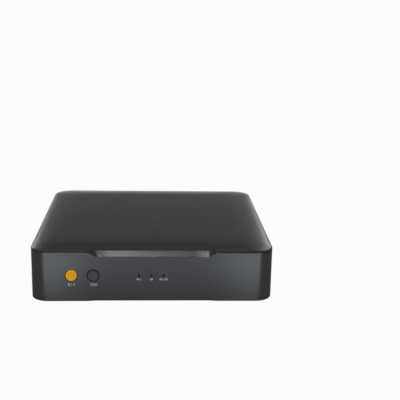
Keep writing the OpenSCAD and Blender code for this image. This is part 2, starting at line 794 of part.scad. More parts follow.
module top_cover() {
    rim = visor_rim;
    flat = [for (x = visor_stations) z_joint];
    rings = concat(
        [cover_ring(rim, z_joint, flat)],
        [for (s = crown_insets)
            cover_ring(s, z_joint + crown(s), [for (x = visor_stations) z_joint + cover_rise(x, s)])]);
    color(case_black) difference() {
        union() {
            difference() {
                loft(rings);
                slab(half_w - pocket_inset, front_y + pocket_inset, rear_y - pocket_inset, inner_r,
                     z_joint - lap, z_joint + crown_h - cover_t);
            }
            difference() {
                inner_slab(skirt_gap, z_joint - skirt_h, z_joint + lap);
                inner_slab(skirt_gap + skirt_t, z_joint - skirt_h - lap, z_joint + 2 * lap);
            }
            for (spot = post_spots) translate([spot[0], spot[1], z_floor])
                cylinder(h = z_joint + lap - z_floor, r = post_r);
        }
        for (spot = post_spots) translate([spot[0], spot[1], z_floor - lap]) {
            cylinder(h = insert_len + lap, r = insert_r + thread_gap);
            cylinder(h = case_screw_len + 2 * lap, r = case_screw_r + hole_gap);
        }
    }
}

module cover_inserts() {
    color(brass) for (spot = post_spots) translate([spot[0], spot[1], z_floor]) difference() {
        cylinder(h = insert_len, r = insert_r);
        translate([0, 0, -lap]) cylinder(h = insert_len + 2 * lap, r = case_screw_r + thread_gap);
    }
}

module case_screws() {
    color(steel) for (spot = post_spots) translate([spot[0], spot[1], z_under]) difference() {
        union() {
            cylinder(h = case_screw_head_h, r1 = case_screw_head_r, r2 = case_screw_r);
            cylinder(h = case_screw_len, r = case_screw_r);
        }
        mirror([0, 0, 1]) cross(case_screw_head_r);
    }
}

module rear_panel() {
    color(panel_black) difference() {
        block(0, panel_w - 2 * panel_gap, panel_y, shell_rear, panel_z + panel_gap,
              panel_z + panel_h - panel_gap);
        for (x = panel_screws) rod(x, panel_y - lap, rear_y, panel_mid, panel_screw_r + hole_gap);
        block(eth_x, eth_w + 2 * socket_gap, panel_y - lap, rear_y, z_top - socket_gap,
              z_top + eth_h + socket_gap);
        block(usb_x, usb_w + 2 * socket_gap, panel_y - lap, rear_y, z_top - socket_gap,
              z_top + usb_h + socket_gap);
        flat_rod(inlet_x, inlet_w + 2 * socket_gap, inlet_h + 2 * socket_gap, panel_y - lap, rear_y,
                 z_top + inlet_h / 2);
        block(opt_x, opt_w + 2 * socket_gap, panel_y - lap, rear_y, z_top - socket_gap,
              z_top + opt_h + socket_gap);
        rod(coax_x, panel_y - lap, rear_y, coax_mid, coax_root_r + socket_gap);
    }
}

module rear_panel_screws() {
    color(steel) for (x = panel_screws) translate([x, shell_rear + panel_screw_head_h, panel_mid])
        rotate([-90, 0, 0])
            pan_screw(panel_screw_r, rear_wall + panel_boss_len, panel_screw_head_r, panel_screw_head_h);
}

// Front controls

// Button cap with a dished face, a retaining flange and a stub for the switch
module button(x) {
    flange_end = cap_len + flange_t;
    translate([x, front_y - cap_proud, z_button]) rotate([-90, 0, 0]) rotate_extrude() polygon([
        [0, cap_dish], [cap_r - cap_bevel, 0], [cap_r, cap_bevel], [cap_r, cap_len],
        [flange_r, cap_len], [flange_r, flange_end], [stub_r, flange_end],
        [stub_r, flange_end + stub_len], [0, flange_end + stub_len]]);
}

module switch_stem(x) {
    color(plastic_black) rod(x, stem_y, stem_y + stem_len, z_button, stem_r);
}

module switch_body(x) {
    color(plastic_black) difference() {
        block(x, switch_w, switch_y, key_y, z_button - switch_w / 2, z_button + switch_w / 2);
        rod(x, switch_y - lap, stem_y + stem_len + press + stem_gap, z_button, stem_r + stem_gap);
    }
}

module power_button() { color(cap_orange) button(power_x); }
module mode_button() { color(cap_black) button(mode_x); }
module power_switch_stem() { switch_stem(power_x); }
module mode_switch_stem() { switch_stem(mode_x); }
module power_switch_body() { switch_body(power_x); }
module mode_switch_body() { switch_body(mode_x); }

module key_board() {
    color(board_green) difference() {
        block((key_x0 + key_x1) / 2, key_x1 - key_x0, key_y, key_back, z_button - key_h / 2,
              z_button + key_h / 2);
        for (x = key_screws) rod(x, key_y - lap, key_back + lap, z_button, key_screw_r + hole_gap);
    }
}

module key_board_screws() {
    color(steel) for (x = key_screws) translate([x, key_back + key_screw_head_h, z_button])
        rotate([-90, 0, 0])
            pan_screw(key_screw_r, board_t + key_screw_grip, key_screw_head_r, key_screw_head_h);
}

module light_pipe() {
    bar = inner_front + pipe_bar_t;
    bar_w = 2 * (lamp_pitch + pipe_bar_end);
    color([0.85, 0.88, 0.9]) {
        block(lamp_mid, bar_w, inner_front, bar, z_button - pipe_bar_h / 2, z_button + pipe_bar_h / 2);
        for (x = lamp_spots) {
            rod(x, shell_front + lamp_sink, bar, z_button, lamp_r - lamp_gap);
            rod(x, bar - lap, key_y - lamp_h - pipe_gap, z_button, pipe_rod_r);
        }
    }
}

module status_lamps() {
    color(plastic_white) for (x = lamp_spots)
        block(x, lamp_w, key_y - lamp_h, key_y, z_button - lamp_w / 3, z_button + lamp_w / 3);
}

module key_board_socket() {
    color(plastic_white) block(ribbon_x, ribbon_socket_w, key_back, key_back + ribbon_socket_h,
                               z_button - ribbon_socket_d / 2, z_button + ribbon_socket_d / 2);
}

module main_board_socket() {
    color(plastic_white) block(ribbon_x, ribbon_socket_w, board_front, ribbon_end, z_top,
                               z_top + ribbon_socket_h);
}

// Flat cable that leaves both sockets level and swings down between them
module ribbon_cable() {
    y0 = key_back + ribbon_socket_h;
    z1 = z_top + ribbon_socket_h / 2;
    steps = 16;
    line = [for (i = [0 : steps]) let (t = i / steps)
        [y0 + (board_front - y0) * t, z_button + (z1 - z_button) * ease(t)]];
    under = [for (i = [0 : steps]) line[i] - [0, ribbon_t / 2]];
    over = [for (i = [steps : -1 : 0]) line[i] + [0, ribbon_t / 2]];
    color(plastic_white) translate([ribbon_x - ribbon_w / 2, 0, 0]) rotate([90, 0, 90])
        linear_extrude(ribbon_w) polygon(concat(under, over));
}

// Main board

module main_board() {
    color(board_green) difference() {
        block(0, board_w, board_front, board_rear, z_board, z_top);
        for (spot = standoff_spots) translate([spot[0], spot[1], z_board - lap])
            cylinder(h = board_t + 2 * lap, r = board_screw_r + hole_gap);
    }
}

module board_standoffs() {
    color(brass) for (spot = standoff_spots) translate([spot[0], spot[1], z_floor]) difference() {
        cylinder(h = standoff_h, r = standoff_w / 2, $fn = 6);
        translate([0, 0, standoff_h - board_screw_grip - thread_gap])
            cylinder(h = board_screw_grip + lap, r = board_screw_r + thread_gap);
    }
}

module main_board_screws() {
    color(steel) for (spot = standoff_spots)
        translate([spot[0], spot[1], z_top + board_screw_head_h])
            pan_screw(board_screw_r, board_t + board_screw_grip, board_screw_head_r, board_screw_head_h);
}

module network_module() {
    color(board_green) block(module_x, module_w, module_y - module_d / 2, module_y + module_d / 2,
                             z_top, z_module);
}

module shield_can() {
    color(steel) difference() {
        block(module_x, can_w, module_y - can_d / 2, module_y + can_d / 2, z_module, z_can);
        block(module_x, can_w - 2 * can_wall, module_y - can_d / 2 + can_wall,
              module_y + can_d / 2 - can_wall, z_module - lap, z_can - can_wall);
    }
}

module thermal_pad() {
    color([0.5, 0.6, 0.75]) block(module_x, pad_w, module_y - pad_w / 2, module_y + pad_w / 2, z_can, z_pad);
}

module heat_sink() {
    step = (sink_w - fin_t) / (fin_count - 1);
    color(steel) {
        block(module_x, sink_w, module_y - sink_d / 2, module_y + sink_d / 2, z_pad, z_pad + sink_t);
        for (i = [0 : fin_count - 1])
            block(module_x + step * (i - (fin_count - 1) / 2), fin_t, module_y - sink_d / 2,
                  module_y + sink_d / 2, z_pad + sink_t - lap, z_pad + sink_t + fin_h);
    }
}

module filter_capacitors() {
    color([0.25, 0.25, 0.3]) for (spot = capacitor_spots)
        translate([spot[0] * board_w, board_rear + spot[1], z_top])
            cylinder(h = cap_can_h, r = cap_can_r);
}

// Low box on the main board
module board_box(spot, w, d, h) {
    y = board_rear + spot[1];
    block(spot[0] * board_w, w, y - d / 2, y + d / 2, z_top, z_top + h);
}

module power_inductors() {
    color([0.3, 0.3, 0.3]) for (spot = inductor_spots) board_box(spot, inductor_w, inductor_w, inductor_h);
}

module clock_oscillators() {
    color(steel) for (spot = oscillator_spots) board_box(spot, oscillator_w, oscillator_d, oscillator_h);
}

module interface_chips() {
    color(plastic_black) for (spot = chip_spots) board_box(spot, chip_w, chip_w, chip_h);
}

// Antenna strip stuck to a side wall: side -1 is left, 1 is right
module antenna(side) {
    color([0.75, 0.5, 0.25])
        block(side * (inner_x - antenna_t / 2), antenna_t, plug_y - antenna_len / 2,
              plug_y + antenna_len / 2, antenna_z - antenna_h / 2, antenna_z + antenna_h / 2);
}

// Thin coaxial lead that leaves the antenna and meets its plug square on
module antenna_lead(side) {
    steps = 14;
    sides = 8;
    x0 = side * (inner_x - antenna_t);
    x1 = module_x + side * (plug_x + plug_w / 2);
    z1 = z_module + plug_h / 2;
    rings = [for (i = [0 : steps])
        let (t = i / steps, slope = 6 * t * (1 - t) * (z1 - antenna_z) / (x1 - x0), tilt = atan(slope))
        [for (j = [0 : sides - 1]) let (a = side * 360 * j / sides, up = lead_r * cos(a))
            [x0 + (x1 - x0) * t - up * sin(tilt), plug_y + lead_r * sin(a),
             antenna_z + (z1 - antenna_z) * ease(t) + up * cos(tilt)]]];
    color(plastic_black) loft(rings);
}

module left_antenna() { antenna(-1); }
module right_antenna() { antenna(1); }
module left_antenna_lead() { antenna_lead(-1); }
module right_antenna_lead() { antenna_lead(1); }

module antenna_plugs() {
    color(brass) for (side = [-1, 1])
        block(module_x + side * plug_x, plug_w, plug_y - plug_w / 2, plug_y + plug_w / 2,
              z_module, z_module + plug_h);
}

// Rear sockets

module ethernet_socket() {
    hole_back = mouth_y - eth_hole_len;
    color(steel) difference() {
        block(eth_x, eth_w, mouth_y - eth_len, mouth_y, z_top, z_top + eth_h);
        block(eth_x, eth_hole_w, hole_back, mouth_y + lap, eth_hole_z, eth_hole_z + eth_hole_h);
        block(eth_x, eth_latch_w, hole_back, mouth_y + lap, eth_hole_z - eth_latch_h, eth_hole_z + lap);
    }
}

// Eight springy contacts that slope down from the roof of the hole
module ethernet_contacts() {
    y0 = mouth_y - contact_back;
    roof = eth_hole_z + eth_hole_h;
    color(brass) for (i = [0 : 7])
        translate([eth_x + (i - 3.5) * contact_pitch - contact_w / 2, 0, 0]) rotate([90, 0, 90])
            linear_extrude(contact_w) polygon([
                [y0, roof], [y0 - contact_w, roof], [y0 - contact_len, roof - contact_drop],
                [y0 - contact_len + contact_w, roof - contact_drop]]);
}

module usb_socket_shell() {
    color(steel) difference() {
        block(usb_x, usb_w, mouth_y - usb_len, mouth_y, z_top, z_top + usb_h);
        block(usb_x, usb_w - 2 * usb_t, mouth_y - usb_len + usb_t, mouth_y + lap, z_top + usb_t,
              z_top + usb_h - usb_t);
    }
}

module usb_socket_tongue() {
    back = mouth_y - usb_len + usb_t;
    over = z_top + usb_h - usb_t - usb_tongue_gap;
    color(plastic_white) {
        block(usb_x, usb_w - 2 * usb_t, back, back + usb_block, z_top + usb_t, z_top + usb_h - usb_t);
        block(usb_x, usb_tongue_w, back + usb_block - lap, mouth_y - usb_tongue_back,
              over - usb_tongue_t, over);
    }
}

module power_inlet_shell() {
    z = z_top + inlet_h / 2;
    color(steel) difference() {
        flat_rod(inlet_x, inlet_w, inlet_h, mouth_y - inlet_len, mouth_y, z);
        flat_rod(inlet_x, inlet_w - 2 * inlet_t, inlet_h - 2 * inlet_t, mouth_y - inlet_len + inlet_t,
                 mouth_y + lap, z);
    }
}

module power_inlet_tongue() {
    z = z_top + inlet_h / 2;
    back = mouth_y - inlet_len + inlet_t;
    color(plastic_black) {
        flat_rod(inlet_x, inlet_w - 2 * inlet_t - 2 * thread_gap, inlet_h - 2 * inlet_t - 2 * thread_gap,
                 back, back + inlet_block, z);
        block(inlet_x, inlet_tongue_w, back + inlet_block - lap, mouth_y - inlet_tongue_back,
              z - inlet_tongue_t / 2, z + inlet_tongue_t / 2);
    }
}

module optical_socket() {
    hole_back = mouth_y - opt_hole_len;
    pin_reach = opt_hole / 2 + pin_end + pin_gap;
    color(plastic_black) difference() {
        block(opt_x, opt_w, mouth_y - opt_len, mouth_y, z_top, z_top + opt_h);
        block(opt_x, opt_hole, hole_back, mouth_y + lap, opt_hole_z, opt_hole_z + opt_hole);
        translate([opt_x - pin_reach, pin_y, pin_z]) rotate([0, 90, 0])
            cylinder(h = 2 * pin_reach, r = pin_r + pin_gap);
        rod(opt_x, hole_back - emitter_len + lap, hole_back + lap, opt_hole_z + opt_hole / 2,
            emitter_r + thread_gap);
    }
}

// Flap that hangs from its pin and swings inwards when a plug pushes it
module optical_shutter() {
    half = opt_hole / 2;
    color([0.2, 0.2, 0.2]) {
        block(opt_x, opt_hole - 2 * shutter_gap, pin_y - shutter_t / 2, pin_y + shutter_t / 2,
              opt_hole_z + shutter_gap, pin_z);
        translate([opt_x - half + shutter_gap, pin_y, pin_z]) rotate([0, 90, 0])
            cylinder(h = opt_hole - 2 * shutter_gap, r = barrel_r);
        translate([opt_x - half - pin_end, pin_y, pin_z]) rotate([0, 90, 0])
            cylinder(h = opt_hole + 2 * pin_end, r = pin_r);
    }
}

module optical_emitter() {
    back = mouth_y - opt_hole_len - emitter_len + lap;
    color([0.8, 0.25, 0.2]) rod(opt_x, back, back + emitter_len, opt_hole_z + opt_hole / 2, emitter_r);
}

module coax_socket_body() {
    color(plastic_black)
        block(coax_x, coax_w, coax_face - coax_len, coax_face, z_top, coax_mid + coax_over);
}

// Tube along Y of the coaxial socket
module coax_tube(outer, inner, end) {
    difference() {
        rod(coax_x, coax_face, end, coax_mid, outer);
        rod(coax_x, coax_face - lap, end + lap, coax_mid, inner);
    }
}

// Barrel with a narrower root, so that a plug's ring stops before the rear panel
module coax_socket_barrel() {
    color(brass) difference() {
        union() {
            rod(coax_x, coax_face, rear_y + lap, coax_mid, coax_root_r);
            rod(coax_x, rear_y, coax_end, coax_mid, coax_r);
        }
        rod(coax_x, coax_face - lap, coax_end + lap, coax_mid, coax_bore);
    }
}

module coax_socket_insulator() {
    color(plastic_white) coax_tube(coax_bore - thread_gap, coax_contact_r + thread_gap,
                                   coax_end - coax_insulator_back);
}

module coax_socket_contact() {
    color(steel) coax_tube(coax_contact_r, coax_pin_r, coax_end - coax_insulator_back - coax_contact_back);
}

base_plate();
foot(-1, -1);  // foot_front_left
foot(1, -1);  // foot_front_right
foot(-1, 1);  // foot_rear_left
foot(1, 1);  // foot_rear_right
body_shell();
top_cover();
rear_panel();
case_screws();
cover_inserts();
rear_panel_screws();
power_button();
mode_button();
power_switch_stem();
mode_switch_stem();
power_switch_body();
mode_switch_body();
key_board();
key_board_screws();
light_pipe();
status_lamps();
key_board_socket();
ribbon_cable();
main_board_socket();
main_board();
board_standoffs();
main_board_screws();
network_module();
shield_can();
thermal_pad();
heat_sink();
filter_capacitors();
power_inductors();
clock_oscillators();
interface_chips();
left_antenna();
right_antenna();
left_antenna_lead();
right_antenna_lead();
antenna_plugs();
ethernet_socket();
ethernet_contacts();
usb_socket_shell();
usb_socket_tongue();
power_inlet_shell();
power_inlet_tongue();
optical_socket();
optical_shutter();
optical_emitter();
coax_socket_body();
coax_socket_barrel();
coax_socket_insulator();
coax_socket_contact();
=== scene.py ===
import bmesh
import bpy
import numpy as np
from mathutils import Matrix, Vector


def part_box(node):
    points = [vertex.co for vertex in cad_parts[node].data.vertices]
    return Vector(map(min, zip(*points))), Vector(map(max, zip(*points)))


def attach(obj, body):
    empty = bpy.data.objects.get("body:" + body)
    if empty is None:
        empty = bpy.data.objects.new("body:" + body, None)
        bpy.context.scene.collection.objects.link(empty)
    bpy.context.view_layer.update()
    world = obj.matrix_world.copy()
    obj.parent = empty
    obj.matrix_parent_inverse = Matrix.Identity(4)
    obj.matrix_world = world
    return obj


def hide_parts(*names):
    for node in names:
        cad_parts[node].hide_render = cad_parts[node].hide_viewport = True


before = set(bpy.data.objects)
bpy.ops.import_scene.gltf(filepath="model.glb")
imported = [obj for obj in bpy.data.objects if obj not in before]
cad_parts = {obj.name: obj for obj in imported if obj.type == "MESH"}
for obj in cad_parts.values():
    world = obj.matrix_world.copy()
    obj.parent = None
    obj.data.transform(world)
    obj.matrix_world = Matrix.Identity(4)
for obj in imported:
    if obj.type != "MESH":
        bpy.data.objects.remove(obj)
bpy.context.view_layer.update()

# Base plate: sheet steel, pressed and powder coated black, with vent slots and pockets for the feet.
# It closes the case from below and carries the boards, and the case screws draw the cover down on it.


def surface_relief():
    """Node group for a worked surface: noise at a fine scale is its grain, and noise at a broad scale
    its slow patches. Stretch multiplies the place first, so that the grain can run one way."""
    group = bpy.data.node_groups.new("surface_relief", "ShaderNodeTree")
    for socket, kind in (("Fine Scale", "Float"), ("Broad Scale", "Float"), ("Stretch", "Vector")):
        group.interface.new_socket(socket, in_out="INPUT", socket_type="NodeSocket" + kind)
    for socket in ("Grain", "Patches"):
        group.interface.new_socket(socket, in_out="OUTPUT", socket_type="NodeSocketFloat")
    taken = group.nodes.new("NodeGroupInput")
    given = group.nodes.new("NodeGroupOutput")
    place = group.nodes.new("ShaderNodeTexCoord")
    drawn = group.nodes.new("ShaderNodeVectorMath")
    drawn.operation = "MULTIPLY"
    fine = group.nodes.new("ShaderNodeTexNoise")
    broad = group.nodes.new("ShaderNodeTexNoise")
    fine.inputs["Detail"].default_value = 2.5
    broad.inputs["Detail"].default_value = 2.0
    join = group.links.new
    join(place.outputs["Object"], drawn.inputs[0])
    join(taken.outputs["Stretch"], drawn.inputs[1])
    join(drawn.outputs["Vector"], fine.inputs["Vector"])
    join(taken.outputs["Fine Scale"], fine.inputs["Scale"])
    join(place.outputs["Object"], broad.inputs["Vector"])
    join(taken.outputs["Broad Scale"], broad.inputs["Scale"])
    join(fine.outputs["Fac"], given.inputs["Grain"])
    join(broad.outputs["Fac"], given.inputs["Patches"])
    return group


relief_group = surface_relief()


def finish(name, tones, shine, depth, fine, broad=40.0, stretch=(1, 1, 1), metallic=0.0):
    """Material whose colour and roughness wander between two tones and two shines with the patches of
    the relief, and whose bump has the relief's grain at the given depth in metres."""
    material = bpy.data.materials.new(name)
    material.use_nodes = True
    tree = material.node_tree
    shader = tree.nodes["Principled BSDF"]
    relief = tree.nodes.new("ShaderNodeGroup")
    relief.node_tree = relief_group
    relief.inputs["Fine Scale"].default_value = fine
    relief.inputs["Broad Scale"].default_value = broad
    relief.inputs["Stretch"].default_value = stretch
    colour = tree.nodes.new("ShaderNodeMix")
    colour.data_type = "RGBA"
    colour.inputs["A"].default_value = (*tones[0], 1)
    colour.inputs["B"].default_value = (*tones[1], 1)
    gloss = tree.nodes.new("ShaderNodeMapRange")
    gloss.inputs["From Min"].default_value = 0.3
    gloss.inputs["From Max"].default_value = 0.7
    gloss.inputs["To Min"].default_value = shine[0]
    gloss.inputs["To Max"].default_value = shine[1]
    bump = tree.nodes.new("ShaderNodeBump")
    bump.inputs["Distance"].default_value = depth
    join = tree.links.new
    join(relief.outputs["Patches"], colour.inputs["Factor"])
    join(relief.outputs["Patches"], gloss.inputs["Value"])
    join(relief.outputs["Grain"], bump.inputs["Height"])
    join(colour.outputs["Result"], shader.inputs["Base Color"])
    join(gloss.outputs["Result"], shader.inputs["Roughness"])
    join(bump.outputs["Normal"], shader.inputs["Normal"])
    shader.inputs["Metallic"].default_value = metallic
    return material


def dress(material, *nodes):
    """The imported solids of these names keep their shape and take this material."""
    for name in nodes:
        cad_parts[name].material_slots[0].material = material


powder_coat = finish("black_powder_coat", ((0.011, 0.011, 0.012), (0.015, 0.015, 0.016)), (0.5, 0.62),
                     0.000012, 1600.0)
dress(powder_coat, "base_plate")

# Feet: four round pads moulded in black rubber, glued into the pockets under the base plate.
# Their lower edge is rounded, and the sole is matt where the mould was sand blasted.

sharp_angle = 0.6


def skin(name, grid, loop=False):
    """Closed surface over a grid of points in millimetres: the rows follow a profile and the columns run
    once round the piece, and four neighbours make a face. The profile runs in a loop, or else one flat
    face closes its first row and another one its last row."""
    rows, columns = grid.shape[:2]
    index = np.arange(rows * columns).reshape(rows, columns)
    rounds = np.concatenate([index, index[:, :1]], axis=1)
    if loop:
        rounds = np.concatenate([rounds, rounds[:1]])
    corners = [rounds[:-1, :-1], rounds[:-1, 1:], rounds[1:, 1:], rounds[1:, :-1]]
    faces = np.stack(corners, axis=-1).reshape(-1, 4).tolist()
    if not loop:
        faces += [index[0, ::-1].tolist(), index[-1].tolist()]
    mesh = bpy.data.meshes.new(name)
    mesh.from_pydata((grid.reshape(-1, 3) * 0.001).tolist(), [], faces)
    shell = bmesh.new()
    shell.from_mesh(mesh)
    bmesh.ops.remove_doubles(shell, verts=shell.verts, dist=1e-7)
    bmesh.ops.recalc_face_normals(shell, faces=shell.faces)
    shell.to_mesh(mesh)
    shell.free()
    mesh.shade_smooth()
    mesh.set_sharp_from_angle(angle=sharp_angle)
    piece = bpy.data.objects.new(name, mesh)
    bpy.context.scene.collection.objects.link(piece)
    return piece


def turned(name, profile, centre, axis, steps=96, loop=False):
    """Surface of revolution: each profile point, a radius and a distance along the axis, is carried
    once round the axis through the centre. The axis is Y or Z."""
    radius, along = np.array(profile, float).T[:, :, None]
    turn = np.linspace(0, 2 * np.pi, steps, endpoint=False)
    across, aside, along = np.broadcast_arrays(radius * np.cos(turn), radius * np.sin(turn), along)
    order = (across, along, -aside) if axis == "Y" else (across, aside, along)
    return skin(name, np.stack(order, axis=-1) + np.array(centre, float), loop)


def quarter(centre, radius, start, end, steps=6):
    """Arc in a profile: points on a circle round the centre between two angles in degrees."""
    turn = np.radians(np.linspace(start, end, steps))
    return np.stack([centre[0] + radius * np.cos(turn), centre[1] + radius * np.sin(turn)], -1).tolist()


def mount(piece, body, slot, material, *nodes):
    """The piece rides on a body, takes a material, and stands for solids, which are hidden. The slot is not
    used.
    """
    piece.data.materials.append(material)
    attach(piece, body)
    if nodes:
        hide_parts(*nodes)


foot_radius = 6.5
foot_height = 2.8
foot_round = 0.5
sole_groove = 0.15
groove_radius = 3.6
sole_radius = 3.8
foot_profile = [(groove_radius, sole_groove), (sole_radius, 0)]
foot_profile += quarter((foot_radius - foot_round, foot_round), foot_round, -90, 0)
foot_profile += [(foot_radius, foot_height)]
foot_rubber = finish("foot_rubber", ((0.010, 0.010, 0.010), (0.016, 0.016, 0.016)), (0.7, 0.85),
                     0.00002, 2600.0)
for foot_name in ("foot_front_left", "foot_front_right", "foot_rear_left", "foot_rear_right"):
    foot_low, foot_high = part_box(foot_name)
    foot_centre = ((foot_low + foot_high) / 2 * 1000)[:2]
    foot = turned(foot_name + "_pad", foot_profile, (*foot_centre, 0), "Z")
    mount(foot, "case", "foot_rubber", foot_rubber, foot_name)

# Main board and what is soldered to it: glass fibre laminate with green lacquer, tinned and black parts,
# on brass standoffs. All of it lies out of sight inside the case.

circuit_board = finish("green_board_lacquer", ((0.006, 0.055, 0.022), (0.010, 0.085, 0.035)), (0.3, 0.42),
                       0.000015, 700.0, 260.0, (1, 3, 1))
dress(circuit_board, "main_board", "network_module", "key_board")
brass = finish("turned_brass", ((0.72, 0.50, 0.18), (0.80, 0.58, 0.24)), (0.22, 0.34),
               0.000004, 900.0, 90.0, (1, 1, 14), 1.0)
dress(brass, "board_standoffs", "cover_inserts", "antenna_plugs")
black_plastic = finish("black_part_plastic", ((0.012, 0.012, 0.013), (0.020, 0.020, 0.021)), (0.42, 0.55),
                       0.00001, 2200.0)
dress(black_plastic, "interface_chips", "power_inductors", "power_switch_body", "mode_switch_body",
      "power_switch_stem", "mode_switch_stem", "left_antenna_lead", "right_antenna_lead",
      "coax_socket_body")
white_plastic = finish("white_part_plastic", ((0.70, 0.69, 0.66), (0.78, 0.77, 0.74)), (0.4, 0.5),
                       0.000008, 1800.0)
dress(white_plastic, "key_board_socket", "main_board_socket", "ribbon_cable", "status_lamps")
tin = finish("tinned_sheet", ((0.56, 0.56, 0.55), (0.68, 0.68, 0.67)), (0.26, 0.4),
             0.000006, 420.0, 70.0, (1, 12, 1), 1.0)
dress(tin, "shield_can", "clock_oscillators")
aluminium = finish("drawn_aluminium", ((0.58, 0.59, 0.60), (0.68, 0.69, 0.70)), (0.34, 0.46),
                   0.000008, 500.0, 60.0, (1, 16, 1), 1.0)
dress(aluminium, "heat_sink", "filter_capacitors")
heat_pad = finish("soft_heat_pad", ((0.20, 0.30, 0.42), (0.26, 0.36, 0.48)), (0.7, 0.8), 0.00004, 1200.0)
dress(heat_pad, "thermal_pad")
copper_film = finish("copper_antenna_film", ((0.62, 0.30, 0.14), (0.72, 0.38, 0.20)), (0.35, 0.5),
                     0.00001, 800.0, 120.0, (1, 1, 1), 1.0)
dress(copper_film, "left_antenna", "right_antenna")
steel = finish("black_screw_steel", ((0.035, 0.035, 0.036), (0.060, 0.060, 0.062)), (0.3, 0.45),
               0.000005, 1500.0, 140.0, (1, 1, 1), 1.0)
dress(steel, "case_screws", "rear_panel_screws", "key_board_screws", "main_board_screws")

# Body shell: the front, side and rear walls, moulded in one ring of dark satin plastic. A shallow ledge
# along its top edge makes the shadow gap, which dips under the visor, and a scoop runs under the front.


def case_stations(front, corner, side, rear):
    """Stations anticlockwise round the case from the left end of the front edge. Each has its share of
    the straight edges' half lengths, from -1 to 1 across and in depth, and its outward direction:
    a straight edge runs from corner to corner, and a quarter circle then turns it to the next edge."""
    ends = np.array([[-1, -1], [1, -1], [1, 1], [-1, 1], [-1, -1]], float)
    shares = []
    turns = []
    for k, steps in enumerate((front, side, rear, side)):
        along = np.linspace(0, 1, steps, endpoint=False)[:, None]
        shares.append(ends[k] + along * (ends[k + 1] - ends[k]))
        shares.append(np.repeat(ends[k + 1:k + 2], corner, axis=0))
        turns.append(np.full(steps, k - 1.0))
        turns.append(k - 1 + np.linspace(0, 1, corner, endpoint=False))
    turns = np.concatenate(turns) * np.pi / 2
    return np.concatenate(shares), np.stack([np.cos(turns), np.sin(turns)], -1)


def hump(x, flat, ramp):
    """1 along the flat middle, falling to 0 in a smooth S curve over each ramp."""
    t = np.clip((flat / 2 + ramp - np.abs(x)) / ramp, 0, 1)
    return t * t * (3 - 2 * t)


def drill(piece, cutters):
    """Takes the cutters out of a piece with exact Booleans, and removes them."""
    for cutter in cutters:
        bore = piece.modifiers.new("bore", "BOOLEAN")
        bore.operation = "DIFFERENCE"
        bore.solver = "EXACT"
        bore.object = cutter
    graph = bpy.context.evaluated_depsgraph_get()
    mesh = bpy.data.meshes.new_from_object(piece.evaluated_get(graph))
    piece.modifiers.clear()
    old = piece.data
    piece.data = mesh
    bpy.data.meshes.remove(old)
    mesh.name = piece.name
    mesh.shade_smooth()
    mesh.set_sharp_from_angle(angle=sharp_angle)
    for cutter in cutters:
        bpy.data.meshes.remove(cutter.data)


def brick(name, low, high):
    """Box between two corners: its upright outline is carried from the low to the high level."""
    across = np.array([low[0], high[0], high[0], low[0]])
    deep = np.array([low[1], low[1], high[1], high[1]])
    across, deep, level = np.broadcast_arrays(across, deep, np.array([[low[2]], [high[2]]]))
    return skin(name, np.stack([across, deep, level], axis=-1))


case_middle = -4.0
shell_half = 74.95
shell_depth = 75.7
shell_radius = 10.7
shell_wall = 2.4
shell_front = -79.7
floor_level = 2.0
joint_level = 34.0
joint_gap = 0.45
ledge_depth = 1.2
edge_round = 0.2
flat_margin = 0.12
rim_in = 0.7
rim_up = 0.7
visor_flat = 67.0
visor_ramp = 6.6
visor_drop = 3.2
visor_tuck = 0.66
lip_drop = 1.75
scoop_flat = 66.0
scoop_ramp = 9.0
scoop_deep = 0.9
scoop_high = 1.3
dip_ledge = 0.6
lip_clear = 0.02

stations, outward = case_stations(front=256, corner=24, side=40, rear=64)
in_front = outward[:, 1] < -0.9999
station_x = stations[:, 0] * (shell_half - shell_radius)
dip = hump(station_x, visor_flat, visor_ramp) * in_front
scoop = hump(station_x, scoop_flat, scoop_ramp) * in_front
edge_level = joint_level - joint_gap - (visor_drop - visor_tuck) * dip
ledge_in = ledge_depth + dip_ledge * dip
lip_level = joint_level - lip_clear - lip_drop * dip
bend = np.radians(np.linspace(0, 90, 7))[:, None]
rim_deep = rim_in + scoop_deep * scoop
rim_high = rim_up + scoop_high * scoop
wall_insets = np.concatenate([
    np.full((1, len(dip)), shell_wall),
    rim_deep * (1 - np.sin(bend)),
    np.zeros((2, len(dip))),
    np.repeat(edge_round * (1 - np.cos(bend)), len(dip), axis=1),
    [ledge_in, ledge_in, np.full(len(dip), shell_wall)],
])
wall_levels = np.concatenate([
    np.full((1, len(dip)), floor_level),
    floor_level + rim_high * (1 - np.cos(bend)),
    [floor_level + rim_high + flat_margin, edge_level - edge_round - flat_margin],
    edge_level - edge_round * (1 - np.sin(bend)),
    [edge_level, lip_level, lip_level],
])
wall_core = stations * np.array([shell_half - shell_radius, shell_depth - shell_radius])
wall_plan = wall_core + (shell_radius - wall_insets[:, :, None]) * outward + np.array([0, case_middle])
walls = skin("case_walls", np.concatenate([wall_plan, wall_levels[:, :, None]], axis=-1), loop=True)

button_level = 18.9
power_across = -49.6
mode_across = -36.3
button_hole = 3.88
lamp_across = (-8.3, -0.7, 6.9)
lamp_hole = 0.68
button_flare = 0.1
lamp_flare = 0.05
bore_spare = 1
panel_rebate = ((-59, 70.2, 6.1), (59, 74, 28.1))
panel_window = ((-52, 66, 8.7), (52, 74, 25.5))
holes = [(power_across, button_hole, button_flare), (mode_across, button_hole, button_flare)]
holes += [(across, lamp_hole, lamp_flare) for across in lamp_across]
cutters = []
for hole_across, hole_radius, flare in holes:
    bore_profile = [(hole_radius + flare + bore_spare, shell_front - bore_spare),
                    (hole_radius, shell_front + flare),
                    (hole_radius, shell_front + shell_wall + bore_spare)]
    cutters.append(turned("bore", bore_profile, (hole_across, 0, button_level), "Y", 64))
cutters += [brick("rebate", *panel_rebate), brick("window", *panel_window)]
drill(walls, cutters)

